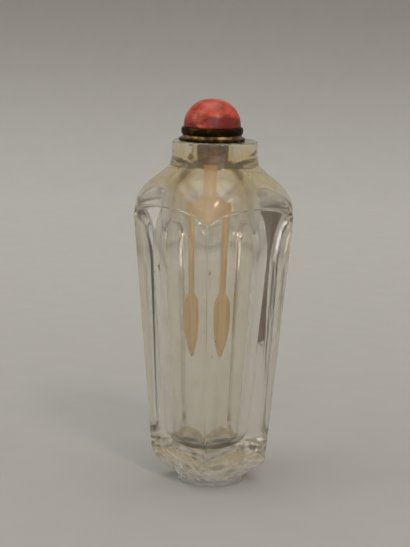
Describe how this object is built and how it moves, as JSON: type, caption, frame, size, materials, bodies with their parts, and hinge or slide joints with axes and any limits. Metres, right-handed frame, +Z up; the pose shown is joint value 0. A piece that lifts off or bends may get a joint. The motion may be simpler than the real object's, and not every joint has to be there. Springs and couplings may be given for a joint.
{
  "type": "snuff bottle",
  "caption": "Small hollow clear glass bottle, square and tapering to a round foot, with a domed coral stopper on a dark metal collar, a cork plug and a hanging spoon.",
  "frame": {"origin": "middle of the foot's flat underside, on the bottle's axis", "axes": "+Z up along the bottle's axis towards the stopper; the four flat faces look along +X, -X, +Y and -Y"},
  "size_m": [0.0254, 0.0254, 0.08],
  "materials": {
    "clear_glass": "polished",
    "coral": "polished coral",
    "dark_brass": "dark patina",
    "cork": "stained cork",
    "bone": "worn bone"
  },
  "bodies": {
    "root": {"bottle": "clear_glass", "stopper_cabochon": "coral", "stopper_collar": "dark_brass", "stopper_plug": "cork", "spoon": "bone"}
  },
  "joints": []
}
